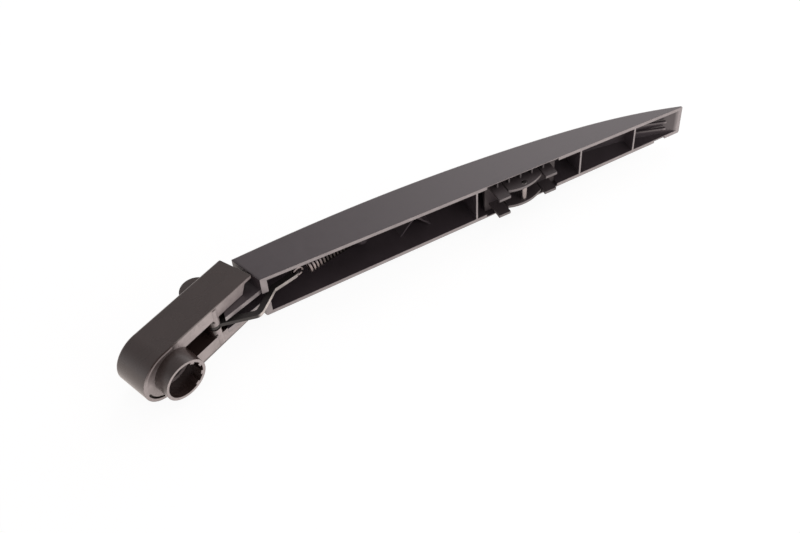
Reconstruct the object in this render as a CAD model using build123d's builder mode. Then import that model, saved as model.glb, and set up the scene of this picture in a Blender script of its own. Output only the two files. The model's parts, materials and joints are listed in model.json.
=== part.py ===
from build123d import *

import os
from math import cos, radians, sin, tan

# Frame: the spindle axis is Y and the origin is the centre of the spindle bore's mouth.
# X runs towards the tip, Y away from the glass, Z across the arm.

# Hub
tube_radius = 11.0
tube_wall = 1.5
tube_depth = 10.0
tooth_count = 4
tooth_pitch = 37.0
tooth_height = 1.0
tooth_width = 2.2
tooth_length = 6.0
well_radius = 9.2
bush_radius = 7.5
bush_length = 8.0
bush_flange_radius = 8.6
bush_flange_length = 1.5
bore_radius = 5.0
bore_length = 4.0
taper_end_radius = 4.2
serration_count = 12
serration_depth = 0.7
serration_width = 1.0

# Head shell, along its rim (u), out of it (v) and across (z)
head_slope = 5.2
head_rim_y = -0.8
head_height = 19.0
head_wall = 2.2
head_roof = 2.2
head_draft = 3.0
head_nose_radius = 14.6
head_nose_centre = -3.0
head_end = 53.5
head_end_half = 13.6
head_end_lean = 5.5
head_edge_radius = 1.2
hub_web = 1.8
hub_web_end = 3.0
rim_slot_inset = 2.0
rim_slot_width = 1.1
rim_slot_depth = 2.5
rim_slot_start = 115.0
rim_slot_sweep = 50.0

# Arm hinge in the head
hinge_x = 45.5
hinge_depth = 2.5
hinge_pin_radius = 1.75
hinge_pin_near = 11.9
hinge_pin_far = -12.6
cheek_start = 6.0
cheek_end = 49.5
cheek_ramp = 3.0
ear_inner = 3.0
ear_wall = 2.7
ear_eye_radius = 3.4
ear_bottom_y = -0.5
ear_toe_x = 32.2
tongue_drop = 6.0

# Strap, a flat link on edge, and its pin in the head
strap_pin_x = 28.5
strap_pin_y = 4.6
strap_pin_radius = 1.5
strap_pin_half = 8.2
strap_lug_radius = 3.2
strap_lug_root = 6.0
strap_width = 3.0
strap_thickness = 2.2
strap_eye_radius = 2.9
strap_knee_x = 46.6
strap_knee_y = -6.6
strap_bend_x = 61.0
strap_bend_y = -0.4
strap_tail_x = 73.5
strap_tail_y = -1.7
strap_bend_radius = 3.0
strap_tail_radius = 2.2
lug_core_depth = 1.3
lug_core_plan = ((29.9, 5.0), (26.1, 5.5), (28.6, 2.7))

# Arm shell, along its rim from the root corner (s), out of it (h) and across (z)
arm_slope = 18.4
arm_root_x = 53.4
arm_root_y = -1.0
arm_length = 235.0
arm_root_half = 13.5
arm_tip_half = 9.1
arm_draft = 1.2
arm_wall = 2.2
arm_roof = 1.6
arm_root_height = 18.2
arm_crown_at = 75.0
arm_crown_height = 20.8
arm_shoulder_at = 150.0
arm_shoulder_height = 17.0
arm_nose_at = 204.0
arm_nose_height = 9.5
arm_tip_height = 1.0
arm_edge_radius = 0.8
root_start = 0.6
root_lean = 19.5
root_wall = 3.4
root_slot_height = 16.0
rib_thickness = 1.0
rib_places = (115.0, 174.5, 206.5)
tip_ridge_places = (2.4, -2.2)
tip_ridge_width = 1.2
tip_ridge_height = 1.2
tip_ridge_end = 226.0
tip_groove_at = 230.0
tip_groove_width = 1.6
tip_groove_half = 6.0
tip_groove_depth = 0.7
tip_notch_at = 223.0
tip_notch_length = 6.5
tip_notch_half = 1.7
tip_notch_depth = 1.0

# Tension spring and its anchor in the arm
wire_radius = 0.7
coil_radius = 3.4
coil_turns = 14.5
coil_pitch = 1.9
coil_lead = 2.4
hook_radius = 2.4
hook_gap = 40.0
hook_slack = 0.5
anchor_pin_radius = 1.5
anchor_post_inner = 3.6
anchor_post_wall = 2.2
anchor_post_half = 3.2

# Blade clip and its pin
clip_start = 121.0
clip_end = 161.0
clip_plate = 2.0
clip_seat_height = 5.0
clip_recess = 1.5
clip_window_margin = 1.0
blade_pin_at = 140.0
blade_pin_height = -2.6
blade_pin_radius = 1.5
clip_cheek_inner = 4.75
clip_cheek_wall = 1.7
clip_cheek_start = 130.6
clip_cheek_end = 150.6
clip_cheek_front = -3.4
clip_cheek_low = -5.0
clip_cheek_rear = -1.6
clip_rib_places = (127.0, 133.5, 140.0, 146.5, 153.0)
clip_rib_thickness = 0.9
clip_rib_height = 2.2
claw_width = 6.4
front_claw_at = 123.6
front_claw_height = -7.0
rear_claw_at = 151.2
rear_claw_height = -4.7

# Nut cover on the outer face
cover_pivot_at = 33.3
cover_pivot_depth = 3.1
cover_half = 10.2
cover_plate = 1.8
knuckle_radius = 8.1
knuckle_skirt = 2.0
knuckle_cheek = 1.6
trunnion_radius = 1.6
trunnion_length = 1.8
roof_pad = 2.2

# Fits
running_gap = 0.05
pin_gap = 0.02
seat_gap = 0.2
side_gap = 0.3
pin_chamfer = 0.3
past = 1.0

# Planes: side views have Z as their normal, plans look along the height
head_rise = radians(head_slope)
head_u = Vector(cos(head_rise), sin(head_rise), 0)
head_v = Vector(-sin(head_rise), cos(head_rise), 0)
head_side = Plane(origin=(0, head_rim_y, 0), x_dir=head_u, z_dir=(0, 0, 1))
head_plan = Plane(origin=(0, head_rim_y, 0), x_dir=head_u, z_dir=head_v)
hub_plane = Plane(origin=(0, -tube_depth, 0), x_dir=(1, 0, 0), z_dir=(0, 1, 0))

arm_fall = radians(arm_slope)
arm_s = Vector(cos(arm_fall), -sin(arm_fall), 0)
arm_h = Vector(sin(arm_fall), cos(arm_fall), 0)
arm_side = Plane(origin=(arm_root_x, arm_root_y, 0), x_dir=arm_s, z_dir=(0, 0, 1))
arm_plan = Plane(origin=(arm_root_x, arm_root_y, 0), x_dir=arm_s, z_dir=arm_h)

# Places that several pieces share
bush_seat = tube_depth + bush_length
roof_inner = head_height - head_roof
hinge_y = head_height - hinge_depth
cheek_inner = ear_inner + ear_wall + side_gap
strap_lug_inner = strap_thickness / 2 + side_gap
recess_floor = head_height - cover_plate - seat_gap
hub_u = head_height * tan(head_rise)
cover_pivot_v = head_height - cover_pivot_depth
knuckle_clear = knuckle_radius + side_gap
root_back = tan(radians(root_lean))
arm_deep = arm_crown_height + past
width_fall = (arm_root_half - arm_tip_half) / arm_length

strap_pin_centre = Vector(strap_pin_x, strap_pin_y, 0)
strap_bend = Vector(strap_bend_x, strap_bend_y, 0)
strap_tail = Vector(strap_tail_x, strap_tail_y, 0)
strap_run = (strap_tail - strap_bend).normalized()
strap_up = Vector(-strap_run.Y, strap_run.X, 0)
strap_hole = strap_tail + strap_up * (strap_tail_radius - strap_width / 2)
spring_axis = (strap_hole - strap_pin_centre).normalized()
spring_normal = Vector(-spring_axis.Y, spring_axis.X, 0)
across = Vector(0, 0, 1)
coil_start = 2 * hook_radius + coil_lead
coil_end = coil_start + coil_turns * coil_pitch
anchor_reach = coil_end + coil_lead + hook_radius
anchor = strap_hole + spring_axis * anchor_reach
anchor_local = arm_side.to_local_coords(anchor)
anchor_post_outer = anchor_post_inner + anchor_post_wall
clip_cheek_outer = clip_cheek_inner + clip_cheek_wall


def arm_half(s):
    """Half the arm's width across its rim, at s from the root corner."""
    return arm_root_half - s * width_fall


def head_half(u):
    """Half the head's width across its rim, at u from the hub."""
    share = (u - head_nose_centre) / (head_end - head_nose_centre)
    return head_nose_radius + (head_end_half - head_nose_radius) * share


def head_outline(inset, end):
    """Plan of the head: a round nose about the hub and two sides that close in slightly."""
    nose = head_nose_radius - inset
    side = head_half(end) - inset
    with BuildSketch(head_plan) as plan:
        with BuildLine():
            near = Line((end, side), (head_nose_centre, nose))
            TangentArc((head_nose_centre, nose), (head_nose_centre, -nose), tangent=near % 1)
            Polyline((head_nose_centre, -nose), (end, -side), (end, side))
        make_face()
    return plan.sketch


def cover_outline(gap, end):
    """Plan of the nut cover: a round nose over the hub and a straight tail, grown by a gap."""
    with BuildSketch(head_plan) as plan:
        with Locations((hub_u, 0)):
            Circle(cover_half + gap)
        with Locations(((hub_u + end) / 2, 0)):
            Rectangle(end - hub_u, 2 * (cover_half + gap))
    return plan.sketch


def knuckle_segment():
    """Side view of the nut cover's knuckle: a disc about its pivot, cut off below."""
    with BuildSketch(head_side) as segment:
        with Locations((cover_pivot_at, cover_pivot_v)):
            Circle(knuckle_radius)
        with Locations((cover_pivot_at, cover_pivot_v - knuckle_skirt - knuckle_radius)):
            Rectangle(2 * knuckle_clear, 2 * knuckle_radius, mode=Mode.SUBTRACT)
    return segment.sketch


def arm_profile(drop, root_inset):
    """Side view of the arm: a straight rim, a leaning root and a crowned back that falls to the tip."""
    height = arm_root_height - drop
    root_foot = (root_inset + drop * root_back, -drop)
    root_head = (root_inset - height * root_back, height)
    crown = (arm_crown_at, arm_crown_height - drop)
    shoulder = (arm_shoulder_at, arm_shoulder_height - drop)
    nose = (arm_nose_at, arm_nose_height - drop)
    tip = (arm_length, arm_tip_height - drop)
    with BuildSketch(arm_side) as profile:
        with BuildLine():
            Spline(root_head, crown, shoulder, nose, tip)
            Polyline(tip, (arm_length, -drop), root_foot, root_head)
        make_face()
    return profile.sketch


def arm_outline(inset, start, end):
    """Plan of the arm at the rim between two places: a long taper, inset by a wall."""
    with BuildSketch(arm_plan) as plan:
        with BuildLine():
            Polyline(
                (start, arm_half(start) - inset),
                (end, arm_half(end) - inset),
                (end, inset - arm_half(end)),
                (start, inset - arm_half(start)),
                close=True,
            )
        make_face()
    return plan.sketch


def on_spring(out, along, side=0):
    """Point along the spring from the strap's hole, out from its axis and to its side."""
    return strap_hole + spring_normal * out + spring_axis * along + across * side


hinge_plane = Plane(origin=(hinge_x, hinge_y, 0))
strap_pin_plane = Plane(origin=strap_pin_centre)
anchor_plane = Plane(origin=anchor)
blade_pin_plane = Plane(origin=arm_side.from_local_coords((blade_pin_at, blade_pin_height, 0)))
cover_pivot_plane = Plane(origin=head_side.from_local_coords((cover_pivot_at, cover_pivot_v, 0)))

os.makedirs("parts", exist_ok=True)

# Head
with BuildPart() as head:
    extrude(head_outline(0, head_end + head_height), amount=head_height, taper=head_draft)
    with BuildSketch(head_side):
        with BuildLine():
            end_back = tan(radians(head_end_lean))
            Polyline(
                (head_end + past * end_back, -past),
                (head_end + 2 * head_height, -past),
                (head_end + 2 * head_height, head_height + past),
                (head_end - (head_height + past) * end_back, head_height + past),
                close=True,
            )
        make_face()
    extrude(amount=2 * head_nose_radius, both=True, mode=Mode.SUBTRACT)
    outer_face = head.faces().sort_by(Axis((0, 0, 0), head_v))[-1]
    fillet(outer_face.edges(), radius=head_edge_radius)
    hollow = head_outline(head_wall, head_end + head_height)
    extrude(hollow, amount=roof_inner, taper=head_draft, mode=Mode.SUBTRACT)
    # Hub tube, the web that ties it to the nose and the pad under the nut cover
    with BuildSketch(hub_plane):
        Circle(tube_radius)
    extrude(amount=tube_depth + head_rim_y + roof_inner)
    extrude(head_outline(head_wall / 2, hub_web_end), amount=hub_web)
    pad_end = cover_pivot_at - knuckle_clear - past
    pad_plane = head_plan.offset(roof_inner - roof_pad)
    with BuildSketch(pad_plane):
        with Locations(((pad_end + head_nose_centre) / 2, 0)):
            Rectangle(pad_end - head_nose_centre, 2 * (head_half(pad_end) - head_wall))
    extrude(amount=roof_pad + head_roof / 2)
    # Cheeks inside the walls, from the tube to the hinge
    cheek_outer = head_end_half - head_wall / 2
    with BuildSketch(head_plan):
        with BuildLine():
            Polyline(
                (cheek_start, cheek_outer),
                (cheek_start, cheek_inner),
                (cheek_end - cheek_ramp, cheek_inner),
                (cheek_end, cheek_outer),
                close=True,
            )
        make_face()
    extrude(amount=head_height - head_roof / 2 - past)
    mirror(about=Plane.XY)
    # Lugs for the strap's pin, cored out a little at the rim
    with BuildSketch(strap_pin_plane.offset(strap_lug_inner)):
        Circle(strap_lug_radius)
        with Locations((0, strap_lug_root / 2)):
            Rectangle(2 * strap_lug_radius, strap_lug_root)
    extrude(amount=cheek_outer - strap_lug_inner)
    mirror(about=Plane.XY)
    for turn in (1, -1):
        with BuildSketch(head_plan):
            with BuildLine():
                Polyline(*[(u, turn * z) for u, z in lug_core_plan], close=True)
            make_face()
        extrude(amount=lug_core_depth, mode=Mode.SUBTRACT)
    # Room for the cover's knuckle, then its recess and trunnion sockets
    with BuildSketch(cover_pivot_plane):
        Circle(knuckle_clear)
    extrude(amount=cover_half + side_gap, both=True, mode=Mode.SUBTRACT)
    with BuildSketch(cover_pivot_plane):
        Circle(trunnion_radius + running_gap)
    extrude(amount=cover_half + trunnion_length + seat_gap, both=True, mode=Mode.SUBTRACT)
    recess = cover_outline(side_gap, cover_pivot_at).moved(Location(head_v * recess_floor))
    extrude(recess, amount=2 * cover_plate, mode=Mode.SUBTRACT)
    # Hub bore, bush seat, nut well and the teeth at the tube's mouth
    with BuildSketch(hub_plane):
        Circle(tube_radius - tube_wall)
    extrude(amount=tube_depth, mode=Mode.SUBTRACT)
    with BuildSketch(hub_plane):
        Circle(bush_radius + pin_gap)
    extrude(amount=bush_seat, mode=Mode.SUBTRACT)
    with BuildSketch(hub_plane.offset(bush_seat)):
        Circle(well_radius)
    extrude(amount=head_height, mode=Mode.SUBTRACT)
    with BuildSketch(hub_plane):
        first_tooth = -tooth_pitch * (tooth_count - 1) / 2
        tooth_middle = tube_radius - tube_wall - tooth_height / 2 + tube_wall / 4
        with PolarLocations(tooth_middle, tooth_count, first_tooth, tooth_pitch * tooth_count):
            Rectangle(tooth_height + tube_wall / 2, tooth_width)
    extrude(amount=tooth_length)
    # Crescent slot in the rim of the nose
    with BuildSketch(head_plan):
        crescent = CenterArc(
            (head_nose_centre, 0),
            head_nose_radius - rim_slot_inset,
            rim_slot_start,
            rim_slot_sweep,
            mode=Mode.PRIVATE,
        )
        SlotArc(crescent, rim_slot_width)
    extrude(amount=rim_slot_depth, mode=Mode.SUBTRACT)
    # Holes for the hinge pin, blind in the near wall, and for the strap's pin
    with BuildSketch(hinge_plane.offset(-2 * head_nose_radius)):
        Circle(hinge_pin_radius + pin_gap)
    extrude(amount=2 * head_nose_radius + hinge_pin_near + seat_gap, mode=Mode.SUBTRACT)
    with BuildSketch(strap_pin_plane):
        Circle(strap_pin_radius + pin_gap)
    extrude(amount=strap_pin_half + seat_gap, both=True, mode=Mode.SUBTRACT)

head.part.label = "head"
export_step(head.part, "parts/head.step")

# Spindle bush: a straight mouth for the spindle, then a serrated taper
with BuildPart() as spindle_bush:
    with BuildSketch(Plane.XY):
        with BuildLine():
            Polyline(
                (bore_radius, 0),
                (bush_radius, 0),
                (bush_radius, bush_length),
                (bush_flange_radius, bush_length),
                (bush_flange_radius, bush_length + bush_flange_length),
                (taper_end_radius, bush_length + bush_flange_length),
                (bore_radius, bore_length),
                close=True,
            )
        make_face()
    revolve(axis=Axis.Y)
    with BuildSketch(hub_plane.offset(tube_depth + bore_length)):
        with PolarLocations(taper_end_radius, serration_count):
            Rectangle(2 * serration_depth, serration_width)
    extrude(amount=head_height, mode=Mode.SUBTRACT)

spindle_bush.part.label = "spindle_bush"
export_step(spindle_bush.part, "parts/spindle_bush.step")

# Nut cover
with BuildPart() as nut_cover:
    plate_end = cover_pivot_at - knuckle_radius + cover_plate
    plate = cover_outline(0, plate_end).moved(Location(head_v * (recess_floor + seat_gap)))
    extrude(plate, amount=cover_plate)
    extrude(knuckle_segment(), amount=cover_half, both=True)
    with BuildSketch(cover_pivot_plane):
        Circle(knuckle_radius - cover_plate)
    extrude(amount=cover_half - knuckle_cheek, both=True, mode=Mode.SUBTRACT)
    with BuildSketch(cover_pivot_plane.offset(cover_half - knuckle_cheek)):
        Circle(trunnion_radius)
    extrude(amount=knuckle_cheek + trunnion_length)
    mirror(about=Plane.XY)

nut_cover.part.label = "nut_cover"
export_step(nut_cover.part, "parts/nut_cover.step")

# Channel of the arm: the hollow between its walls, left standing at the ribs
with BuildPart() as channel:
    extrude(arm_profile(arm_roof, root_start + root_wall), amount=arm_root_half, both=True)
    hollow = arm_outline(arm_wall, -arm_root_height, arm_length + past)
    extrude(hollow, amount=arm_deep, taper=arm_draft, mode=Mode.INTERSECT)
    with BuildSketch(arm_side):
        for place in rib_places:
            with Locations((place, arm_deep / 2)):
                Rectangle(rib_thickness, arm_deep + past)
    extrude(amount=arm_root_half, both=True, mode=Mode.SUBTRACT)

# Arm
with BuildPart() as arm:
    extrude(arm_profile(0, root_start), amount=arm_root_half + past, both=True)
    outside = arm_outline(0, -arm_root_height, arm_length + past)
    extrude(outside, amount=arm_deep, taper=arm_draft, mode=Mode.INTERSECT)
    fillet(arm.edges().filter_by(GeomType.BSPLINE), radius=arm_edge_radius)
    add(channel.part, mode=Mode.SUBTRACT)
    # Seat for the blade clip, cut into both rims
    seat = arm_outline(arm_wall - clip_recess, clip_start - side_gap, clip_end + side_gap)
    extrude(seat, amount=clip_seat_height, mode=Mode.SUBTRACT)
    # Slot in the root wall, between the ears, for the strap
    with BuildSketch(arm_side):
        with BuildLine():
            Polyline(
                (-past, -past),
                (root_start + root_wall + past, -past),
                (root_start + root_wall + past - root_slot_height * root_back, root_slot_height),
                (-past - root_slot_height * root_back, root_slot_height),
                close=True,
            )
        make_face()
    extrude(amount=ear_inner, both=True, mode=Mode.SUBTRACT)
    # Ears of the hinge tongue, from the root wall into the head
    ear_root = arm_root_x + root_start + root_wall / 2
    with BuildSketch(Plane.XY.offset(ear_inner)):
        with BuildLine():
            Polyline(
                (hinge_x, hinge_y),
                (ear_root, hinge_y - tongue_drop),
                (ear_root, ear_bottom_y),
                (ear_toe_x, ear_bottom_y),
                (hinge_x - ear_eye_radius, hinge_y),
                close=True,
            )
        make_face()
        with Locations((hinge_x, hinge_y)):
            Circle(ear_eye_radius)
            Circle(hinge_pin_radius + running_gap, mode=Mode.SUBTRACT)
    extrude(amount=ear_wall)
    mirror(about=Plane.XY)
    # Posts under the roof that carry the spring's anchor pin
    post_height = arm_crown_height - arm_roof / 2 - anchor_local.Y
    with BuildSketch(arm_side.offset(anchor_post_inner)):
        with Locations((anchor_local.X, anchor_local.Y + post_height / 2)):
            Rectangle(2 * anchor_post_half, post_height)
        with Locations((anchor_local.X, anchor_local.Y)):
            Circle(anchor_post_half)
            Circle(anchor_pin_radius + pin_gap, mode=Mode.SUBTRACT)
    extrude(amount=anchor_post_wall)
    mirror(about=Plane.XY)
    # Ridges on the floor of the tip bay, the groove behind the end and the notch in the lower rim
    ridge_start = rib_places[-1]
    ridge_top = arm_nose_height - arm_roof
    for place in tip_ridge_places:
        with BuildSketch(arm_side.offset(place - tip_ridge_width / 2)):
            with BuildLine():
                Polyline(
                    (ridge_start, ridge_top - tip_ridge_height),
                    (tip_ridge_end, 0),
                    (tip_ridge_end, tip_ridge_height),
                    (ridge_start, ridge_top),
                    close=True,
                )
            make_face()
        extrude(amount=tip_ridge_width)
    with BuildSketch(arm_plan):
        with Locations((tip_groove_at, 0)):
            SlotOverall(2 * tip_groove_half, tip_groove_width, rotation=90)
    extrude(amount=tip_groove_depth, mode=Mode.SUBTRACT)
    with BuildSketch(arm_plan):
        with Locations((tip_notch_at, arm_half(tip_notch_at))):
            Rectangle(tip_notch_length, 2 * tip_notch_half)
    extrude(amount=tip_notch_depth, mode=Mode.SUBTRACT)

arm.part.label = "arm"
export_step(arm.part, "parts/arm.step")

# Strap: a flat link with an eye on the head's pin and another for the spring's hook
with BuildPart() as spring_strap:
    with BuildSketch(Plane.XY):
        with BuildLine():
            FilletPolyline(
                strap_pin_centre,
                (strap_knee_x, strap_knee_y),
                strap_bend,
                strap_tail,
                radius=strap_bend_radius,
            )
        trace(line_width=strap_width)
        with Locations(strap_pin_centre):
            Circle(strap_eye_radius)
            Circle(strap_pin_radius + running_gap, mode=Mode.SUBTRACT)
        with Locations(strap_hole):
            Circle(strap_tail_radius)
            Circle(wire_radius + hook_slack, mode=Mode.SUBTRACT)
    extrude(amount=strap_thickness / 2, both=True)

spring_strap.part.label = "spring_strap"
export_step(spring_strap.part, "parts/spring_strap.step")

# Tension spring: a hook through the strap, the coil and a hook round the anchor pin
with BuildPart() as tension_spring:
    open_out = hook_radius * sin(radians(hook_gap))
    open_along = hook_radius * cos(radians(hook_gap))
    with BuildLine() as wire_path:
        ThreePointArc(
            on_spring(0, hook_radius + open_along, -open_out),
            on_spring(0, hook_radius, -hook_radius),
            on_spring(0, 0),
        )
        ThreePointArc(
            on_spring(0, 0),
            on_spring(0, hook_radius, hook_radius),
            on_spring(0, 2 * hook_radius),
        )
        Spline(
            on_spring(0, 2 * hook_radius),
            on_spring(coil_radius, coil_start),
            tangents=(-across, across),
        )
        Helix(
            pitch=coil_pitch,
            height=coil_turns * coil_pitch,
            radius=coil_radius,
            center=on_spring(0, coil_start),
            direction=spring_axis,
        )
        Spline(
            on_spring(-coil_radius, coil_end),
            on_spring(0, coil_end + coil_lead),
            tangents=(-across, spring_normal),
        )
        ThreePointArc(
            on_spring(0, coil_end + coil_lead),
            on_spring(hook_radius, anchor_reach),
            on_spring(0, anchor_reach + hook_radius),
        )
        ThreePointArc(
            on_spring(0, anchor_reach + hook_radius),
            on_spring(-hook_radius, anchor_reach),
            on_spring(-open_out, anchor_reach - open_along),
        )
    with BuildSketch(Plane(origin=wire_path.line @ 0, z_dir=wire_path.line % 0)):
        Circle(wire_radius)
    sweep()

tension_spring.part.label = "tension_spring"
export_step(tension_spring.part, "parts/tension_spring.step")

# Blade clip: a plate seated in the rims, two curved cheeks and four claws
with BuildPart() as blade_clip:
    plate_low = clip_seat_height - clip_plate
    clip_inset = arm_wall - clip_recess + side_gap
    clip_plate_outline = arm_outline(clip_inset, clip_start, clip_end)
    extrude(clip_plate_outline.moved(Location(arm_h * plate_low)), amount=clip_plate)
    window = clip_cheek_inner - clip_window_margin
    with BuildSketch(arm_plan):
        with Locations(((clip_cheek_start + clip_cheek_end) / 2, 0)):
            Rectangle(clip_cheek_end - clip_cheek_start, 2 * window)
    extrude(amount=arm_deep, mode=Mode.SUBTRACT)
    with BuildSketch(arm_side.offset(clip_cheek_inner)):
        with BuildLine():
            Polyline(
                (clip_cheek_end, clip_cheek_rear),
                (clip_cheek_end, clip_seat_height),
                (clip_cheek_start, clip_seat_height),
                (clip_cheek_start, clip_cheek_front),
            )
            ThreePointArc(
                (clip_cheek_start, clip_cheek_front),
                (blade_pin_at, clip_cheek_low),
                (clip_cheek_end, clip_cheek_rear),
            )
        make_face()
        for claw_at, claw_height in (
            (front_claw_at, front_claw_height),
            (rear_claw_at, rear_claw_height),
        ):
            with Locations((claw_at + claw_width / 2, (claw_height + clip_seat_height) / 2)):
                Rectangle(claw_width, clip_seat_height - claw_height)
        with Locations((blade_pin_at, blade_pin_height)):
            Circle(blade_pin_radius + pin_gap, mode=Mode.SUBTRACT)
    extrude(amount=clip_cheek_wall)
    # Small ribs that space the cheeks from the arm's walls
    with BuildSketch(arm_plan.offset(plate_low)):
        for place in clip_rib_places:
            rib_end = arm_half(place) - clip_inset
            with Locations((place, -(clip_cheek_outer + rib_end) / 2)):
                Rectangle(clip_rib_thickness, rib_end - clip_cheek_outer)
    extrude(amount=-clip_rib_height)
    mirror(about=Plane.XY)

blade_clip.part.label = "blade_clip"
export_step(blade_clip.part, "parts/blade_clip.step")

# Pins across the arm, with lightly broken ends
for name, plane, radius, low, high in (
    ("hinge_pin", hinge_plane, hinge_pin_radius, hinge_pin_far, hinge_pin_near),
    ("strap_pin", strap_pin_plane, strap_pin_radius, -strap_pin_half, strap_pin_half),
    ("spring_anchor_pin", anchor_plane, anchor_pin_radius, -anchor_post_outer, anchor_post_outer),
    ("blade_pin", blade_pin_plane, blade_pin_radius, -clip_cheek_outer, clip_cheek_outer),
):
    with BuildPart() as pin:
        with BuildSketch(plane.offset(low)):
            Circle(radius)
        extrude(amount=high - low)
        chamfer(pin.edges().filter_by(GeomType.CIRCLE), length=pin_chamfer)
    pin.part.label = name
    export_step(pin.part, f"parts/{name}.step")
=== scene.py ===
import json
from math import cos, radians, sin

import bmesh
import bpy
import numpy as np
from mathutils import Matrix, Vector

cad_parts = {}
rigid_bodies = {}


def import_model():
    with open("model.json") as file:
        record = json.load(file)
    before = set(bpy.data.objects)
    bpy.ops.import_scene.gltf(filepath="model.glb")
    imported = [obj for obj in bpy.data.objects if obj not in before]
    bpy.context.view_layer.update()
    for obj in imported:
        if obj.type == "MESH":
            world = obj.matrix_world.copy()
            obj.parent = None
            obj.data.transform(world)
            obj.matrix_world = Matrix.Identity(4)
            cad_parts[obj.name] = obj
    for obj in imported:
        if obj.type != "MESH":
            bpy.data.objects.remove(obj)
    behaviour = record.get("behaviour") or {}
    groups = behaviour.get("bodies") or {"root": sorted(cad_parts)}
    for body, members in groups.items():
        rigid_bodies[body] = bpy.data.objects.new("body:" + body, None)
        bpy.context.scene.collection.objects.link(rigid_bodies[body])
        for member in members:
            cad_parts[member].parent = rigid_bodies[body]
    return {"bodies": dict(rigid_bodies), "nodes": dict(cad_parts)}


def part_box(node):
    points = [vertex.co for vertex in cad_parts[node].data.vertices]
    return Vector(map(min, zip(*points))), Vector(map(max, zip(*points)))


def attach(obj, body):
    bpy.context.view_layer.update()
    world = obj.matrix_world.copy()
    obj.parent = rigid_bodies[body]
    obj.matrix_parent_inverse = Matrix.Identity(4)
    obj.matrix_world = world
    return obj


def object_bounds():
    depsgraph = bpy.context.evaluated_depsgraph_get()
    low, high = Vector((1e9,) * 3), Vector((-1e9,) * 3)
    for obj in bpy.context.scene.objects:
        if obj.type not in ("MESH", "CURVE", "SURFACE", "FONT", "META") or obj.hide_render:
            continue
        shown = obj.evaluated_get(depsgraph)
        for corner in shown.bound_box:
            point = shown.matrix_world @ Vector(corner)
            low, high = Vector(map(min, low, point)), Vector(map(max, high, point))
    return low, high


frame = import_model()
cad_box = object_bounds()

bl_info = {
    "name": "Wiper arm finish",
    "version": (1, 0, 0),
    "blender": (4, 5, 0),
    "location": "View3D > Sidebar > Wiper arm",
    "description": "Finishes the moulded and steel pieces of a rear wiper arm and sets its studio",
    "category": "Object",
}

# Rims of the two moulded shells: a point on each rim, in metres, and its slope in degrees
HEAD_RIM = (0.0, -0.0008, 0.0)
HEAD_SLOPE = 5.2
ARM_RIM = (0.0534, -0.0010, 0.0)
ARM_SLOPE = -18.4

# View of the photograph: eye in metres, its axes and its lens in millimetres
EYE = (-0.146275, -0.315679, 0.461655)
EYE_RIGHT = (0.695059, -0.717260, -0.049223)
EYE_UP = (0.576964, 0.515637, 0.633424)
LENS = 57.02
SENSOR = 36.0
NEAREST = 0.01


# Property groups

class PlasticFinish(bpy.types.PropertyGroup):
    """Colours, gloss and grain of a moulded plastic piece."""

    colour: bpy.props.FloatVectorProperty(
        name="Colour",
        description="Colour of the moulded faces",
        default=(0.038, 0.022, 0.019),
        subtype="COLOR",
        min=0.0,
        max=1.0,
    )
    # Painted highlight: pale colour of the rims that face the glass and the light
    rim_highlight_colour: bpy.props.FloatVectorProperty(
        name="Rim colour",
        description="Colour of the rims that face the glass, rubbed pale",
        default=(0.54, 0.47, 0.46),
        subtype="COLOR",
        min=0.0,
        max=1.0,
    )
    roughness: bpy.props.FloatProperty(
        name="Roughness",
        description="Mean roughness of the moulded faces",
        default=0.27,
        min=0.05,
        max=1.0,
        subtype="FACTOR",
    )
    gloss: bpy.props.FloatProperty(
        name="Gloss",
        description="Weight of the glossy skin, which shows at a flat angle",
        default=0.9,
        min=0.0,
        max=1.0,
        subtype="FACTOR",
    )
    grain: bpy.props.FloatProperty(
        name="Grain",
        description="Height of the moulded grain",
        default=0.00002,
        min=0.0,
        max=0.0005,
        precision=6,
        unit="LENGTH",
    )


class SteelFinish(bpy.types.PropertyGroup):
    """Colours and polish of the steel pieces."""

    coat_colour: bpy.props.FloatVectorProperty(
        name="Coat colour",
        description="Black oxide coat of the strap",
        default=(0.030, 0.027, 0.026),
        subtype="COLOR",
        min=0.0,
        max=1.0,
    )
    # Bare steel of the strap's edges: partly rubbed wear, partly a painted highlight where they look to
    # the light
    bare_and_highlight_colour: bpy.props.FloatVectorProperty(
        name="Bare colour",
        description="Bare sheared edge of the strap, where the coat is rubbed off",
        default=(0.66, 0.63, 0.61),
        subtype="COLOR",
        min=0.0,
        max=1.0,
    )
    wire_colour: bpy.props.FloatVectorProperty(
        name="Wire colour",
        description="Wire of the tension spring where it is free of grease",
        default=(0.36, 0.315, 0.31),
        subtype="COLOR",
        min=0.0,
        max=1.0,
    )
    pin_colour: bpy.props.FloatVectorProperty(
        name="Pin colour",
        description="Turned pins and bush",
        default=(0.43, 0.395, 0.39),
        subtype="COLOR",
        min=0.0,
        max=1.0,
    )
    roughness: bpy.props.FloatProperty(
        name="Roughness",
        description="Mean roughness of the steel",
        default=0.34,
        min=0.05,
        max=1.0,
        subtype="FACTOR",
    )


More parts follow.
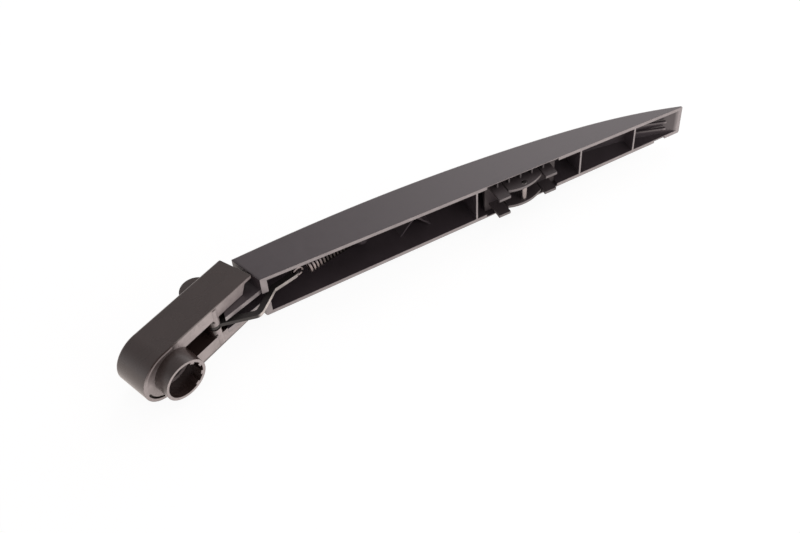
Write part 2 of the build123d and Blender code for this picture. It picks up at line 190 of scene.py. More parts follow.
class StudioSettings(bpy.types.PropertyGroup):
    """Floor and lights of the studio."""

    floor_size: bpy.props.FloatProperty(
        name="Floor size",
        description="Side of the square floor",
        default=12.0,
        min=1.0,
        unit="LENGTH",
    )
    floor_colour: bpy.props.FloatVectorProperty(
        name="Floor colour",
        description="Colour of the floor",
        default=(0.93, 0.93, 0.93),
        subtype="COLOR",
        min=0.0,
        max=1.0,
    )
    shadow_share: bpy.props.FloatProperty(
        name="Shadow share",
        description="Share of the floor's own shading that the camera sees",
        default=0.18,
        min=0.0,
        max=1.0,
        subtype="FACTOR",
    )
    light_colour: bpy.props.FloatVectorProperty(
        name="Light colour",
        description="Slightly warm colour of the sky and the softboxes",
        default=(1.0, 0.955, 0.955),
        subtype="COLOR",
        min=0.0,
        max=1.0,
    )
    sky: bpy.props.FloatProperty(
        name="Sky",
        description="Strength of the even light from all round",
        default=0.42,
        min=0.0,
        max=2.0,
    )
    tip_light: bpy.props.FloatProperty(
        name="Tip light",
        description="Power of the softbox behind the tip",
        default=2.0,
        min=0.0,
        max=200.0,
        unit="POWER",
    )
    front_light: bpy.props.FloatProperty(
        name="Front light",
        description="Power of the low softbox on the side of the rims",
        default=2.5,
        min=0.0,
        max=200.0,
        unit="POWER",
    )
    white: bpy.props.FloatProperty(
        name="White",
        description="Strength at which the floor and its own shading add up to white",
        default=1.115,
        min=0.0,
        max=2.0,
    )


# Node tools, and the kinds of a group's sockets
NUMBER = "NodeSocketFloat"
VECTOR = "NodeSocketVector"


def feed(tree, node, inputs):
    """Links each input that is given a socket, and sets each other input to its value."""
    for name, value in inputs.items():
        if isinstance(value, bpy.types.NodeSocket):
            tree.links.new(value, node.inputs[name])
        else:
            node.inputs[name].default_value = value


def add_node(tree, kind, inputs=None, **settings):
    """Adds a node with its settings and inputs."""
    node = tree.nodes.new(kind)
    for name, value in settings.items():
        setattr(node, name, value)
    feed(tree, node, inputs or {})
    return node


def calculate(tree, operation, first, second=0.0, clamp=False):
    """Result of one operation on two numbers."""
    inputs = {0: first, 1: second}
    return add_node(tree, "ShaderNodeMath", inputs, operation=operation, use_clamp=clamp).outputs[0]


def vector_node(tree, operation, inputs):
    """Adds one operation on vectors, which are given in order."""
    return add_node(tree, "ShaderNodeVectorMath", dict(enumerate(inputs)), operation=operation)


def ramp(tree, value, start, end, low=0.0, high=1.0):
    """Value that goes evenly from low at the start to high at the end, and stays there outside."""
    inputs = {"Value": value, "From Min": start, "From Max": end, "To Min": low, "To Max": high}
    return add_node(tree, "ShaderNodeMapRange", inputs).outputs["Result"]


def mixed(tree, share, first, second, kind="RGBA"):
    """Mix of two colours, or of two numbers, by the share of the second."""
    inputs = {"Factor": share, "A": first, "B": second}
    return add_node(tree, "ShaderNodeMix", inputs, data_type=kind).outputs["Result"]


def noise(tree, place, scale, detail, roughness=0.5, distortion=0.0):
    """Noise at a place, from 0 to 1."""
    inputs = {"Vector": place, "Scale": scale, "Detail": detail}
    inputs |= {"Roughness": roughness, "Distortion": distortion}
    return add_node(tree, "ShaderNodeTexNoise", inputs).outputs["Fac"]


def parts(tree, vector):
    """The X, Y and Z outputs of a vector."""
    return add_node(tree, "ShaderNodeSeparateXYZ", {"Vector": vector}).outputs


def new_group(name, inputs, outputs):
    """A shader node group with its sockets; returns the tree, its inputs and its exit."""
    tree = bpy.data.node_groups.new(name, "ShaderNodeTree")
    for socket, kind in inputs.items():
        tree.interface.new_socket(socket, in_out="INPUT", socket_type=kind)
    for socket in outputs:
        tree.interface.new_socket(socket, in_out="OUTPUT", socket_type=NUMBER)
    return tree, tree.nodes.new("NodeGroupInput").outputs, tree.nodes.new("NodeGroupOutput")


def place_group(tree, group, inputs):
    """Puts a node group into a material's tree and returns its outputs."""
    node = tree.nodes.new("ShaderNodeGroup")
    node.node_tree = group
    feed(tree, node, inputs)
    return node.outputs


# Node groups: shares and scales of the patterns
SLOW_SHARE = 0.045
PATCH_SCALE = 190.0
PATCH_RANGE = (0.30, 0.62)
PATCH_LEAST = 0.72
STAIN_SCALE = 240.0

# Cosines between a face's normal and the inward direction at which the painted rim highlight starts and is
# full
LOOK_OUT = (-0.75, -0.95)

# Painted shade on the rounding of the head's edge, in metres: the nose's centre, and where it fades in
# along X and across Z
NOSE_CENTRE = -0.003
WALL_FADE = (0.0, 0.008)
NOSE_FADE = (0.005, 0.012)

# Web round the hub tube, in metres: end along X, painted shade across Z, and where the tube stands out of
# it
WEB_END = (0.003, 0.006)
WEB_SHADE = (0.002, 0.010)
WEB_TOP = (-0.004, -0.002)

# Shares of the painted rim highlight that the web's painted shade takes away, where it starts and where it
# is full
WEB_SHARES = (0.1, 0.85)


def moulded_grain():
    """Group: fine spark-eroded grain and the slow mottling of a moulding, from Object coordinates."""
    if "moulded_grain" in bpy.data.node_groups:
        return bpy.data.node_groups["moulded_grain"]
    sockets = {"Vector": VECTOR, "Scale": NUMBER}
    tree, given, leave = new_group("moulded_grain", sockets, ("Grain", "Mottle"))
    slow_scale = calculate(tree, "MULTIPLY", given["Scale"], SLOW_SHARE)
    grain = noise(tree, given["Vector"], given["Scale"], detail=4.0, roughness=0.65)
    mottle = noise(tree, given["Vector"], slow_scale, detail=3.0, distortion=0.6)
    feed(tree, leave, {"Grain": grain, "Mottle": mottle})
    return tree


def off_rounding(tree, given, across, reach):
    """Share of the painted rim highlight that the rounding along the outer edge leaves, which paints shade
    on the rounding.

    It is none on the outer half of the rounding and rises to all of it over the inner half. The lower
    side of the nose has no rounding.
    """
    inside = calculate(tree, "SUBTRACT", given["Half width"], reach)
    half_round = calculate(tree, "MULTIPLY", given["Round"], 0.5)
    flat = ramp(tree, inside, half_round, given["Round"])
    straight = ramp(tree, across["X"], *WALL_FADE)
    upper = ramp(tree, across["Z"], *NOSE_FADE)
    rounded = calculate(tree, "MAXIMUM", straight, upper)
    return mixed(tree, rounded, 1.0, flat, "FLOAT")


def off_web(tree, given, across, reach, height):
    """Share of the painted rim highlight that is left on the web round the origin, with painted shade
    where the near wall shades it.
    """
    web = calculate(tree, "LESS_THAN", reach, given["Web radius"])
    limits = (
        ramp(tree, across["X"], *WEB_END, 1.0, 0.0),
        ramp(tree, across["Z"], *WEB_SHADE, *WEB_SHARES),
        ramp(tree, height, *WEB_TOP),
    )
    for limit in limits:
        web = calculate(tree, "MULTIPLY", web, limit)
    return calculate(tree, "SUBTRACT", 1.0, web)


def painted_rim_highlight():
    """Group: mask of the painted highlight on faces that look to the glass and lie near a rim plane,
    broken up by noise.

    It leaves out the rounding along the outer edge, which the half width and the round nose give, and
    the upper side of a web round the origin.
    """
    if "painted_rim_highlight" in bpy.data.node_groups:
        return bpy.data.node_groups["painted_rim_highlight"]
    vectors = dict.fromkeys(("Vector", "Normal", "Rim", "Inward"), VECTOR)
    numbers = dict.fromkeys(("Depth", "Half width", "Round", "Web radius"), NUMBER)
    tree, given, leave = new_group("painted_rim_highlight", vectors | numbers, ("Mask",))
    offset = vector_node(tree, "SUBTRACT", (given["Vector"], given["Rim"])).outputs["Vector"]
    height = vector_node(tree, "DOT_PRODUCT", (offset, given["Inward"])).outputs["Value"]
    facing = vector_node(tree, "DOT_PRODUCT", (given["Normal"], given["Inward"])).outputs["Value"]
    across = parts(tree, given["Vector"])
    beyond = calculate(tree, "MINIMUM", calculate(tree, "SUBTRACT", across["X"], NOSE_CENTRE), 0.0)
    from_middle = add_node(tree, "ShaderNodeCombineXYZ", {"X": beyond, "Z": across["Z"]})
    reach = vector_node(tree, "LENGTH", (from_middle.outputs["Vector"],)).outputs["Value"]
    shares = (
        ramp(tree, facing, *LOOK_OUT),
        off_rounding(tree, given, across, reach),
        off_web(tree, given, across, reach, height),
    )
    # Painted highlight: full at the rim plane, fading to none at the given depth inward
    mask = ramp(tree, height, 0.0, given["Depth"], 1.0, 0.0)
    for share in shares:
        mask = calculate(tree, "MULTIPLY", mask, share)
    patches = noise(tree, given["Vector"], PATCH_SCALE, detail=5.0, roughness=0.6)
    # Noise patches break up the painted highlight
    patchy = ramp(tree, patches, *PATCH_RANGE, PATCH_LEAST, 1.0)
    feed(tree, leave, {"Mask": calculate(tree, "MULTIPLY", mask, patchy, clamp=True)})
    return tree


def drawn_lines():
    """Group: fine lines left by drawing or turning, from coordinates stretched across the lines."""
    if "drawn_lines" in bpy.data.node_groups:
        return bpy.data.node_groups["drawn_lines"]
    sockets = {"Vector": VECTOR, "Stretch": VECTOR}
    tree, given, leave = new_group("drawn_lines", sockets, ("Lines", "Stain"))
    stretched = vector_node(tree, "MULTIPLY", (given["Vector"], given["Stretch"])).outputs["Vector"]
    lines = noise(tree, stretched, 1.0, detail=3.0)
    stain = noise(tree, given["Vector"], STAIN_SCALE, detail=5.0, roughness=0.7)
    feed(tree, leave, {"Lines": lines, "Stain": stain})
    return tree


# Materials: the mouldings' grain and gloss, shares, and distances in metres
GRAIN_SCALE = 2400.0
GRAIN_STRENGTH = 0.6
MOTTLE = 0.16
# Depths inward from the rim plane over which the painted rim highlight fades, for the mouldings and the
# arm
RIM_HIGHLIGHT_DEPTH = 0.0024
ARM_HIGHLIGHT_DEPTH = 0.0006
# Depth of the strap's bare edge with the painted highlight
COAT_DEPTH = 0.004
EDGE_RADIUS = 0.00025
RIM_EDGE = 0.0006
RIM_ROUND = 0.0018
BEVEL_SAMPLES = 6
NO_LIMIT = 1.0
WEB_RADIUS = 0.0124
PLASTIC_IOR = 1.5
SKIN_ROUGHNESS = 0.38

# Spread of the roughness about its mean, from the smoothest to the roughest places
SATIN_SPREAD = (-0.07, 0.09)
DRAWN_SPREAD = (-0.1, 0.12)
COATED_SPREAD = (-0.05, 0.2)

# Steel: where stains, lines and cut ends set in, by noise levels and by the cosine to the ends' direction
STAIN_RANGE = (0.35, 0.7)
LINE_RANGE = (0.3, 0.7)
CUT_RANGE = (0.85, 0.95)

# Steel: shares of the colour when clean, stained, cut and greasy, and of the coat, darkest and palest
CLEAN_SHARE = 1.08
STAIN_SHARE = 0.72
CUT_SHARE = 0.12
GREASE_SHARE = 0.14
COAT_SHARES = (0.7, 1.3)

# Steel: strength of the lines' relief, and its height in metres
LINE_STRENGTH = 0.25
LINE_HEIGHT = 0.00001

# Steel: directions into the strap from its bare edge with the painted highlight, and to a piece's cut ends
STRAP_INWARD = (-0.35, 0.937, 0.0)
NO_ENDS = (0.0, 0.0, 0.0)
PIN_ENDS = (0.0, 0.0, 1.0)

# Steel: where grease starts and is full along X, in metres
NO_GREASE = (NO_LIMIT, 2 * NO_LIMIT)
SPRING_GREASE = (0.083, 0.090)

# Steel: how often the lines of each piece repeat along X, Y and Z, per metre
STRAP_LINES = (120.0, 120.0, 5200.0)
WIRE_LINES = (2600.0, 300.0, 300.0)
PIN_LINES = (300.0, 300.0, 4200.0)
BUSH_LINES = (300.0, 4200.0, 300.0)


def new_material(name):
    """A node material; returns it with its tree and its Principled shader."""
    material = bpy.data.materials.new(name)
    material.use_nodes = True
    return material, material.node_tree, material.node_tree.nodes["Principled BSDF"]


def scaled(colour, factor=1.0):
    """A colour made darker or lighter, with its alpha."""
    return tuple(min(1.0, part * factor) for part in colour) + (1.0,)


def rim_axes(slope):
    """Unit directions along a rim of this slope and inward from it."""
    turn = radians(slope)
    return np.array((cos(turn), sin(turn), 0.0)), np.array((-sin(turn), cos(turn), 0.0))


def spread(tree, value, start, end, mean, about):
    """Roughness that goes from one side of its mean to the other with a value."""
    return ramp(tree, value, start, end, mean + about[0], mean + about[1])


def rounded_normal(tree, radius):
    """Normal of the surface with its edges rounded."""
    return add_node(tree, "ShaderNodeBevel", {"Radius": radius}, samples=BEVEL_SAMPLES).outputs["Normal"]


def relief(tree, height, strength, distance):
    """Normal of the surface with softened edges and a fine relief."""
    inputs = {"Strength": strength, "Distance": distance, "Height": height}
    inputs["Normal"] = rounded_normal(tree, EDGE_RADIUS)
    return add_node(tree, "ShaderNodeBump", inputs).outputs["Normal"]


def moulded_plastic(name, finish, rim, slope, depth=RIM_HIGHLIGHT_DEPTH, half_width=NO_LIMIT, web_radius=0.0):
    """Satin moulding: mottled colour, painted highlight on the rims, fine grain and softened edges."""
    material, tree, shader = new_material(name)
    place = add_node(tree, "ShaderNodeTexCoord").outputs["Object"]
    grain = place_group(tree, moulded_grain(), {"Vector": place, "Scale": GRAIN_SCALE})
    local = add_node(
        tree,
        "ShaderNodeVectorTransform",
        {"Vector": rounded_normal(tree, RIM_EDGE)},
        vector_type="NORMAL",
        convert_from="WORLD",
        convert_to="OBJECT",
    )
    limits = {
        "Vector": place,
        "Normal": local.outputs["Vector"],
        "Rim": rim,
        "Inward": rim_axes(slope)[1],
        "Depth": depth,
        "Half width": half_width,
        "Round": RIM_ROUND,
        "Web radius": web_radius,
    }
    painted_highlight = place_group(tree, painted_rim_highlight(), limits)
    dark = scaled(finish.colour, 1.0 - MOTTLE)
    pale = scaled(finish.colour, 1.0 + MOTTLE)
    body = mixed(tree, grain["Mottle"], dark, pale)
    look = {
        # Painted highlight: the rims that look to the light take the pale rim highlight colour
        "Base Color": mixed(tree, painted_highlight["Mask"], body, scaled(finish.rim_highlight_colour)),
        "Roughness": spread(tree, grain["Mottle"], 0.0, 1.0, finish.roughness, SATIN_SPREAD),
        "Normal": relief(tree, grain["Grain"], GRAIN_STRENGTH, finish.grain),
        "IOR": PLASTIC_IOR,
        "Coat Weight": finish.gloss,
        "Coat Roughness": SKIN_ROUGHNESS,
    }
    feed(tree, shader, look)
    return material


def bare_steel(name, colour, roughness, stretch, ends=NO_ENDS, grease=NO_GREASE):
    """Bare or plated steel: drawn lines in the roughness, faint stains in the colour, dark cut ends.

    Grease darkens it along X, from none at the first distance to full at the second.
    """
    material, tree, shader = new_material(name)
    place = add_node(tree, "ShaderNodeTexCoord").outputs
    lines = place_group(tree, drawn_lines(), {"Vector": place["Object"], "Stretch": stretch})
    stained = ramp(tree, lines["Stain"], *STAIN_RANGE)
    tone = mixed(tree, stained, scaled(colour, CLEAN_SHARE), scaled(colour, STAIN_SHARE))
    facing = vector_node(tree, "DOT_PRODUCT", (place["Normal"], ends)).outputs["Value"]
    cut = ramp(tree, calculate(tree, "ABSOLUTE", facing), *CUT_RANGE)
    tone = mixed(tree, cut, tone, scaled(colour, CUT_SHARE))
    greasy = ramp(tree, parts(tree, place["Object"])["X"], *grease)
    look = {
        "Base Color": mixed(tree, greasy, tone, scaled(colour, GREASE_SHARE)),
        "Roughness": spread(tree, lines["Lines"], *LINE_RANGE, roughness, DRAWN_SPREAD),
        "Normal": relief(tree, lines["Lines"], LINE_STRENGTH, LINE_HEIGHT),
        "Metallic": 1.0,
    }
    feed(tree, shader, look)
    return material


def coated_steel(name, steel, rim, inward):
    """Black-coated steel, rubbed bare and painted pale as a highlight on the edges that look out of a rim
    plane.
    """
    material, tree, shader = new_material(name)
    place = add_node(tree, "ShaderNodeTexCoord").outputs
    limits = {
        "Vector": place["Object"],
        "Normal": place["Normal"],
        "Rim": rim,
        "Inward": inward,
        "Depth": COAT_DEPTH,
        "Half width": NO_LIMIT,
        "Round": RIM_ROUND,
    }
    painted_highlight = place_group(tree, painted_rim_highlight(), limits)
    lines = place_group(tree, drawn_lines(), {"Vector": place["Object"], "Stretch": STRAP_LINES})
    dark, pale = (scaled(steel.coat_colour, share) for share in COAT_SHARES)
    coat = mixed(tree, lines["Stain"], dark, pale)
    # Painted highlight: bare, pale steel on the edges that the mask picks out by the way they face
    look = {
        "Base Color": mixed(tree, painted_highlight["Mask"], coat, scaled(steel.bare_and_highlight_colour)),
        "Metallic": painted_highlight["Mask"],
        "Roughness": spread(tree, lines["Lines"], 0.0, 1.0, steel.roughness, COATED_SPREAD),
        "Normal": rounded_normal(tree, EDGE_RADIUS),
    }
    feed(tree, shader, look)
    return material


def dress(names, material):
    """Gives a material to CAD nodes by name."""
    for name in names:
        node = frame["nodes"][name]
        node.data.materials.clear()
        node.data.materials.append(material)


# Moulded details that the solids lack, in metres and degrees
ROOT_START = 0.0028
ROOT_END = 0.0062
ROOT_INNER = 0.0088
ROOT_WALL = 0.0014
ROOT_HEIGHT = 0.0040
CROSS_AT = 0.0856
CROSS_TOP = 0.0092
CROSS_LEAN = 50.0
CROSS_THICKNESS = 0.0009
CROSS_ROOT = 0.0005


def rim_points(rim, slope, along, inward, across):
    """Points by their distances along a rim, inward from it and across the part, a row for each."""
    steps = np.stack(np.broadcast_arrays(along, inward, across), axis=-1)
    return np.array(rim) + steps @ np.array([*rim_axes(slope), (0.0, 0.0, 1.0)])


def prism(name, lower, upper):
    """Closed mesh object between two outlines with the same number of points, in turning order."""
    count = len(lower)
    first = np.arange(count)
    after = (first + 1) % count
    sides = np.stack([first, after, after + count, first + count], axis=-1).tolist()
    caps = [first[::-1].tolist(), (first + count).tolist()]
    mesh = bpy.data.meshes.new(name)
    mesh.from_pydata(np.concatenate([lower, upper]).tolist(), [], sides + caps)
    work = bmesh.new()
    work.from_mesh(mesh)
    bmesh.ops.recalc_face_normals(work, faces=work.faces)
    work.to_mesh(mesh)
    work.free()
    piece = bpy.data.objects.new(name, mesh)
    bpy.context.scene.collection.objects.link(piece)
    return piece


def cheek_root(side, half_width):
    """The short foot of a cheek beside the hub tube, flush with the head's rim.

    Its four corners lie at two distances along the rim and two across the part, once in the plane of the
    rim and once ROOT_HEIGHT inward from it.
    """
    inner = side * ROOT_INNER
    outer = side * (half_width - ROOT_WALL)
    along = np.array((ROOT_START, ROOT_START, ROOT_END, ROOT_END))
    across = np.array((outer, inner, inner, outer))
    lower = rim_points(HEAD_RIM, HEAD_SLOPE, along, 0.0, across)
    upper = rim_points(HEAD_RIM, HEAD_SLOPE, along, ROOT_HEIGHT, across)
    return prism("cheek_root_near" if side > 0 else "cheek_root_far", lower, upper)


def channel_rib(lean):
    """One of two thin ribs that cross in the arm's channel, from wall to wall and down to the roof.

    Its outline runs through the points where its top line meets the walls and through those of the roof
    below them, each a little way into the arm, and half its thickness lies on each side of it.
    """
    arm = frame["nodes"]["arm"]
    ahead, deep = (Vector(axis) for axis in rim_axes(ARM_SLOPE))
    middle = Vector(rim_points(ARM_RIM, ARM_SLOPE, CROSS_AT, CROSS_TOP, 0.0))
    turn = radians(CROSS_LEAN)
    way = ahead * cos(turn) * lean + Vector((0.0, 0.0, sin(turn)))
    half = np.array(deep.cross(way).normalized() * CROSS_THICKNESS / 2)
    ends = []
    feet = []
    for heading in (way, -way):
        wall = arm.ray_cast(middle, heading)[1]
        roof = arm.ray_cast(wall - heading * CROSS_ROOT, deep)[1]
        end = wall + heading * CROSS_ROOT
        ends.append(end)
        feet.append(end + deep * ((roof - end).dot(deep) + CROSS_ROOT))
    outline = np.array([*ends, *reversed(feet)])
    return prism("channel_rib_front" if lean > 0 else "channel_rib_back", outline - half, outline + half)


# Spring, in metres from the anchor pin's middle: where the stretching ends, and where it starts
SPRING_REACH = 0.03955
SPRING_EYE = 0.0033


def stretch_spring():
    """Lets the spring follow its anchor pin when the arm lifts.

    The eye round the pin moves as the pin does. Beyond it the movement falls evenly to none at
    SPRING_REACH, so the coil stretches and stays straight. The hook's object rides with the arm but turns
    with the strap.
    """
    spring = frame["nodes"]["tension_spring"]
    pin = frame["nodes"]["spring_anchor_pin"]
    bpy.context.view_layer.update()
    corners = [pin.matrix_world @ Vector(corner) for corner in pin.bound_box]
    anchor = sum(corners, Vector()) / len(corners)
    arm = frame["bodies"]["arm_body"]
    rider = bpy.data.objects.new("anchor_rider", None)
    rider.parent = arm
    rider.matrix_local = arm.matrix_world.inverted() @ Matrix.Translation(anchor)
    steer = rider.constraints.new("COPY_ROTATION")
    steer.target = frame["bodies"]["strap_body"]
    bpy.context.scene.collection.objects.link(rider)
    bpy.context.view_layer.update()
    hook = spring.modifiers.new("stretch_to_anchor", "HOOK")
    hook.object = rider
    hook.center = spring.matrix_world.inverted() @ anchor
    hook.falloff_type = "CURVE"
    hook.falloff_radius = SPRING_REACH
    shares = hook.falloff_curve.curves[0].points
    shares.new(1.0 - SPRING_EYE / SPRING_REACH, 1.0)
    for share in shares:
        share.handle_type = "VECTOR"
    hook.falloff_curve.update()
    hook.vertex_indices_set(range(len(spring.data.vertices)))
    hook.matrix_inverse = rider.matrix_world.inverted() @ spring.matrix_world


# Studio: the floor's glow and finish, and the softboxes' size and places from the middle, in metres
FLOOR_GLOW = (1.0, 0.90, 0.85, 1.0)
WHITE = (1.0, 1.0, 1.0, 1.0)
FLOOR_CELLS = 8
FLOOR_ROUGHNESS = 0.9
FLOOR_GLOSS = 0.1
SPECK_SCALE = 7.0
SPECK_SHARE = 0.985
SOFTBOX_SIZE = 0.8
BEHIND_TIP = (0.62, 0.12, 0.42)
RIM_SIDE = (0.25, -1.1, 0.35)

# Studio: sines of the elevations at which the sky in reflections is still white, and down to its own level
HORIZON = (0.05, 0.60)


def floor_material(colour, shadow_share, strength):
    """Pale floor with a share of its own shading, white to the camera and warm white to reflections."""
    material, tree, shader = new_material("floor")
    place = add_node(tree, "ShaderNodeTexCoord").outputs["Object"]
    speck = noise(tree, place, SPECK_SCALE, detail=3.0)
    tone = mixed(tree, speck, scaled(colour, SPECK_SHARE), scaled(colour))
    look = {"Base Color": tone, "Roughness": FLOOR_ROUGHNESS, "Specular IOR Level": FLOOR_GLOSS}
    feed(tree, shader, look)
    path = add_node(tree, "ShaderNodeLightPath").outputs
    tint = mixed(tree, path["Is Camera Ray"], FLOOR_GLOW, WHITE)
    glow = add_node(tree, "ShaderNodeEmission", {"Color": tint, "Strength": strength})
    seen = calculate(tree, "MAXIMUM", path["Is Camera Ray"], path["Is Glossy Ray"])
    share = calculate(tree, "MULTIPLY", seen, 1.0 - shadow_share)
    sides = {"Fac": share, 1: shader.outputs["BSDF"], 2: glow.outputs["Emission"]}
    surface = add_node(tree, "ShaderNodeMixShader", sides)
    feed(tree, tree.nodes["Material Output"], {"Surface": surface.outputs["Shader"]})
    return material


def floor_sheet(size, height):
    """Square grid in the plane z = height: x and y run evenly from minus to plus half the size."""
    row = FLOOR_CELLS + 1
    steps = np.linspace(-0.5, 0.5, row) * size
    x, y = np.meshgrid(steps, steps)
    points = np.stack([x, y, np.full_like(x, height)], axis=-1).reshape(-1, 3)
    first = (np.arange(FLOOR_CELLS)[:, None] * row + np.arange(FLOOR_CELLS)).reshape(-1)
    faces = np.stack([first, first + 1, first + row + 1, first + row], axis=-1)
    mesh = bpy.data.meshes.new("floor")
    mesh.from_pydata(points.tolist(), [], faces.tolist())
    return mesh


def softbox(name, power, colour, place, target):
    """A square area light at a place, turned to a target."""
    light = bpy.data.lights.new(name, "AREA")
    light.energy = power
    light.color = colour
    light.size = SOFTBOX_SIZE
    box = bpy.data.objects.new(name, light)
    box.location = place
    box.rotation_euler = (target - place).to_track_quat("-Z", "Y").to_euler()
    bpy.context.scene.collection.objects.link(box)


def studio_sky(colour, strength):
    """Even light from all round, with a horizon that reflections see as white, like a studio's sweep."""
    world = bpy.data.worlds.new("studio")
    world.use_nodes = True
    tree = world.node_tree
    direction = add_node(tree, "ShaderNodeTexCoord").outputs["Generated"]
    sweep = ramp(tree, parts(tree, direction)["Z"], *HORIZON, 1.0, strength)
    glossy = add_node(tree, "ShaderNodeLightPath").outputs["Is Glossy Ray"]
    level = mixed(tree, glossy, strength, sweep, "FLOAT")
    feed(tree, tree.nodes["Background"], {"Color": scaled(colour), "Strength": level})
    return world


def photo_camera():
    """Camera at the photograph's viewpoint, from the eye's place and its right and up directions."""
    lens = bpy.data.cameras.new("photo_view")
    lens.lens = LENS
    lens.sensor_width = SENSOR
    lens.clip_start = NEAREST
    camera = bpy.data.objects.new("photo_view", lens)
    right = Vector(EYE_RIGHT).normalized()
    up = Vector(EYE_UP).normalized()
    turn = Matrix((right, up, right.cross(up))).transposed().to_4x4()
    camera.matrix_world = Matrix.Translation(EYE) @ turn
    bpy.context.scene.collection.objects.link(camera)
    return camera


# Operators

class WIPER_OT_finish_head(bpy.types.Operator):
    """Finish the head and the nut cover in satin black plastic"""

    bl_idname = "wiper.finish_head"
    bl_label = "Finish head"

    def execute(self, context):
        low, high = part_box("head")
        half_width = (high[2] - low[2]) / 2
        plastic = moulded_plastic(
            "head_plastic",
            context.scene.wiper_head,
            HEAD_RIM,
            HEAD_SLOPE,
            half_width=half_width,
            web_radius=WEB_RADIUS,
        )
        dress(("head", "nut_cover"), plastic)
        for side in (-1, 1):
            piece = cheek_root(side, half_width)
            piece.data.materials.append(plastic)
            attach(piece, "head_body")
        return {"FINISHED"}


class WIPER_OT_finish_arm(bpy.types.Operator):
    """Finish the arm in satin charcoal plastic"""

    bl_idname = "wiper.finish_arm"
    bl_label = "Finish arm"

    def execute(self, context):
        finish = context.scene.wiper_arm
        plastic = moulded_plastic("arm_plastic", finish, ARM_RIM, ARM_SLOPE, ARM_HIGHLIGHT_DEPTH)
        dress(("arm",), plastic)
        for lean in (-1, 1):
            piece = channel_rib(lean)
            piece.data.materials.append(plastic)
            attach(piece, "arm_body")
        return {"FINISHED"}


class WIPER_OT_finish_clip(bpy.types.Operator):
    """Finish the blade clip in black plastic"""

    bl_idname = "wiper.finish_clip"
    bl_label = "Finish blade clip"

    def execute(self, context):
        finish = context.scene.wiper_clip
        dress(("blade_clip",), moulded_plastic("clip_plastic", finish, ARM_RIM, ARM_SLOPE))
        return {"FINISHED"}


class WIPER_OT_finish_linkage(bpy.types.Operator):
    """Finish the strap and the tension spring"""

    bl_idname = "wiper.finish_linkage"
    bl_label = "Finish strap and spring"

    def execute(self, context):
        steel = context.scene.wiper_steel
        dress(("spring_strap",), coated_steel("strap_steel", steel, ARM_RIM, STRAP_INWARD))
        wire = bare_steel(
            "spring_steel",
            steel.wire_colour,
            steel.roughness,
            WIRE_LINES,
            grease=SPRING_GREASE,
        )
        dress(("tension_spring",), wire)
        stretch_spring()
        return {"FINISHED"}


class WIPER_OT_finish_pins(bpy.types.Operator):
    """Finish the pins and the spindle bush in turned steel"""

    bl_idname = "wiper.finish_pins"
    bl_label = "Finish pins and bush"

    def execute(self, context):
        steel = context.scene.wiper_steel
        turned = bare_steel("pin_steel", steel.pin_colour, steel.roughness, PIN_LINES, PIN_ENDS)
        dress(("hinge_pin", "strap_pin", "spring_anchor_pin", "blade_pin"), turned)
        bored = bare_steel("bush_steel", steel.pin_colour, steel.roughness, BUSH_LINES)
        dress(("spindle_bush",), bored)
        return {"FINISHED"}


class WIPER_OT_build_studio(bpy.types.Operator):
    """Build the floor, the soft lights, the sky and the camera"""

    bl_idname = "wiper.build_studio"
    bl_label = "Build studio"

    def execute(self, context):
        scene = context.scene
        studio = scene.wiper_studio
        low, high = cad_box
        sheet = floor_sheet(studio.floor_size, low[2])
        floor = bpy.data.objects.new("floor", sheet)
        sheet.materials.append(floor_material(studio.floor_colour, studio.shadow_share, studio.white))
        scene.collection.objects.link(floor)
        middle = (Vector(low) + Vector(high)) / 2
        behind_tip = middle + Vector(BEHIND_TIP)
        softbox("tip_softbox", studio.tip_light, studio.light_colour, behind_tip, middle)
        rim_side = middle + Vector(RIM_SIDE)
        softbox("front_softbox", studio.front_light, studio.light_colour, rim_side, middle)
        scene.world = studio_sky(studio.light_colour, studio.sky)
        scene.camera = photo_camera()
        scene.view_settings.view_transform = "Standard"
        return {"FINISHED"}


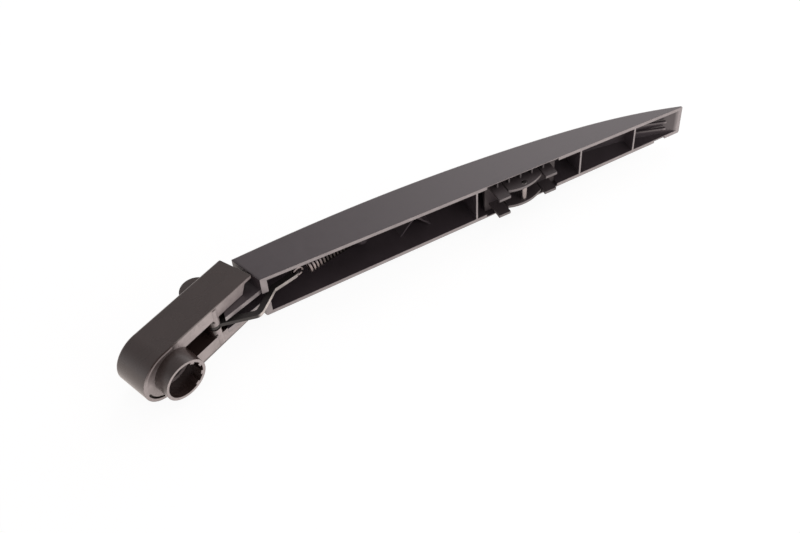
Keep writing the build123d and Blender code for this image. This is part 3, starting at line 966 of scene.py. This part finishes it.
class WIPER_PT_panel(bpy.types.Panel):
    """Finishes and studio of the wiper arm"""

    bl_idname = "WIPER_PT_panel"
    bl_label = "Wiper arm"
    bl_space_type = "VIEW_3D"
    bl_region_type = "UI"
    bl_category = "Wiper arm"

    def draw(self, context):
        for operator in OPERATORS:
            self.layout.operator(operator.bl_idname)
        for group in POINTERS:
            settings = getattr(context.scene, group)
            box = self.layout.box()
            for name in settings.__annotations__:
                box.prop(settings, name)


OPERATORS = (
    WIPER_OT_finish_head,
    WIPER_OT_finish_arm,
    WIPER_OT_finish_clip,
    WIPER_OT_finish_linkage,
    WIPER_OT_finish_pins,
    WIPER_OT_build_studio,
)
POINTERS = {
    "wiper_head": PlasticFinish,
    "wiper_arm": PlasticFinish,
    "wiper_clip": PlasticFinish,
    "wiper_steel": SteelFinish,
    "wiper_studio": StudioSettings,
}
CLASSES = (PlasticFinish, SteelFinish, StudioSettings) + OPERATORS + (WIPER_PT_panel,)

# Finishes that differ from the defaults, which are the head's
OTHER_FINISHES = {
    "wiper_arm": {
        "colour": (0.064, 0.050, 0.057),
        "rim_highlight_colour": (0.47, 0.42, 0.42),
        "roughness": 0.36,
    },
    "wiper_clip": {
        "colour": (0.062, 0.050, 0.053),
        "rim_highlight_colour": (0.30, 0.27, 0.27),
        "roughness": 0.5,
        "gloss": 0.0,
    },
}


def register():
    """Registers the classes and hangs their settings on the scene."""
    for item in CLASSES:
        bpy.utils.register_class(item)
    for name, group in POINTERS.items():
        setattr(bpy.types.Scene, name, bpy.props.PointerProperty(type=group))


def unregister():
    """Takes the settings off the scene and unregisters the classes."""
    for name in POINTERS:
        delattr(bpy.types.Scene, name)
    for item in reversed(CLASSES):
        bpy.utils.unregister_class(item)


def main():
    """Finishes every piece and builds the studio."""
    register()
    for group, values in OTHER_FINISHES.items():
        settings = getattr(bpy.context.scene, group)
        for name, value in values.items():
            setattr(settings, name, value)
    bpy.ops.wiper.finish_head()
    bpy.ops.wiper.finish_arm()
    bpy.ops.wiper.finish_clip()
    bpy.ops.wiper.finish_linkage()
    bpy.ops.wiper.finish_pins()
    bpy.ops.wiper.build_studio()


if __name__ == "__main__":
    main()
